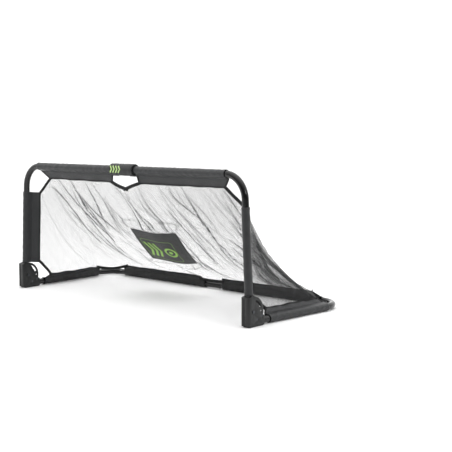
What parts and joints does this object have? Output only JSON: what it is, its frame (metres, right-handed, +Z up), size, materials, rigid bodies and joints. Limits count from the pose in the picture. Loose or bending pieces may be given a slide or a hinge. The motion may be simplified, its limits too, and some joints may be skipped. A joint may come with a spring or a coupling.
{
  "type": "folding pop up goal",
  "caption": "Low folding lawn goal: bent steel tube frame on two corner hinges, fabric sleeves and a sloping knitted net.",
  "frame": {"origin": "centre of the plan box, on the ground", "axes": "+X along the crossbar to the right as seen from the field, +Y from the mouth to the rear bar, +Z up"},
  "size_m": [1.4944, 0.6189, 0.609],
  "materials": {
    "black_steel": "gloss black powder coat",
    "zinc_steel": "zinc plated",
    "hinge_nylon": "fine moulded grain",
    "rubber_foot": "matt",
    "grey_canvas": "coated polyester cloth",
    "black_canvas": "coated polyester cloth",
    "black_webbing": "ribbed binding tape",
    "knitted_net": "fine knitted mesh",
    "wrap_foam_cloth": "padded cloth with a green chevron print",
    "printed_patch": "printed cloth, thin green frame and ball mark"
  },
  "bodies": {
    "right_base": {"right_base_tube": "black_steel", "right_hinge_outer": "hinge_nylon", "right_hinge_inner": "hinge_nylon", "right_hinge_bolt": "zinc_steel", "right_clamp_screws": "zinc_steel", "right_foot": "rubber_foot", "right_side_sleeve": "grey_canvas", "right_back_sleeve": "black_canvas", "right_side_flap": "grey_canvas", "right_back_flap": "black_canvas", "right_low_strap": "black_webbing", "right_back_strap": "black_webbing", "right_side_net": "knitted_net", "right_back_net": "knitted_net", "back_spigot": "zinc_steel", "back_spigot_rivet": "zinc_steel", "gap_strap": "black_webbing", "patch": "printed_patch"},
    "right_front": {"right_front_tube": "black_steel", "right_post_plug": "hinge_nylon", "right_hinge_washers": "zinc_steel", "right_post_sleeve": "grey_canvas", "right_bar_sleeve": "grey_canvas", "right_post_flap": "grey_canvas", "right_bar_flap": "grey_canvas", "right_top_strap": "black_webbing", "right_drop_strap": "black_webbing", "bar_spigot": "zinc_steel", "bar_spigot_rivet": "zinc_steel", "joint_wrap": "wrap_foam_cloth"},
    "left_base": {"left_base_tube": "black_steel", "left_hinge_outer": "hinge_nylon", "left_hinge_inner": "hinge_nylon", "left_hinge_bolt": "zinc_steel", "left_clamp_screws": "zinc_steel", "left_foot": "rubber_foot", "left_side_sleeve": "grey_canvas", "left_back_sleeve": "black_canvas", "left_side_flap": "grey_canvas", "left_back_flap": "black_canvas", "left_low_strap": "black_webbing", "left_back_strap": "black_webbing", "left_side_net": "knitted_net", "left_back_net": "knitted_net"},
    "left_front": {"left_front_tube": "black_steel", "left_post_plug": "hinge_nylon", "left_hinge_washers": "zinc_steel", "left_post_sleeve": "grey_canvas", "left_bar_sleeve": "grey_canvas", "left_post_flap": "grey_canvas", "left_bar_flap": "grey_canvas", "left_top_strap": "black_webbing", "left_drop_strap": "black_webbing"}
  },
  "joints": [
    {"name": "right_fold", "type": "hinge", "parent": "right_base", "child": "right_front", "pos_m": [0.70494, -0.2815, 0.06], "axis": [-1, 0, 0], "range_deg": [0, 90], "deforming": ["right_side_flap", "right_back_flap", "right_low_strap", "right_back_strap", "right_side_net", "right_back_net", "right_post_flap", "right_bar_flap", "right_top_strap", "right_drop_strap", "patch"]},
    {"name": "part_slide", "type": "slide", "parent": "right_base", "child": "left_base", "axis": [-1, 0, 0], "range_m": [0, 0.06], "deforming": ["gap_strap"]},
    {"name": "left_fold", "type": "hinge", "parent": "left_base", "child": "left_front", "pos_m": [-0.70494, -0.2815, 0.06], "axis": [-1, 0, 0], "range_deg": [0, 90], "deforming": ["left_side_flap", "left_back_flap", "left_low_strap", "left_back_strap", "left_side_net", "left_back_net", "left_post_flap", "left_bar_flap", "left_top_strap", "left_drop_strap"]}
  ],
  "couplings": [
    {"joint": "left_fold", "follows": "right_fold", "ratio": 1}
  ]
}
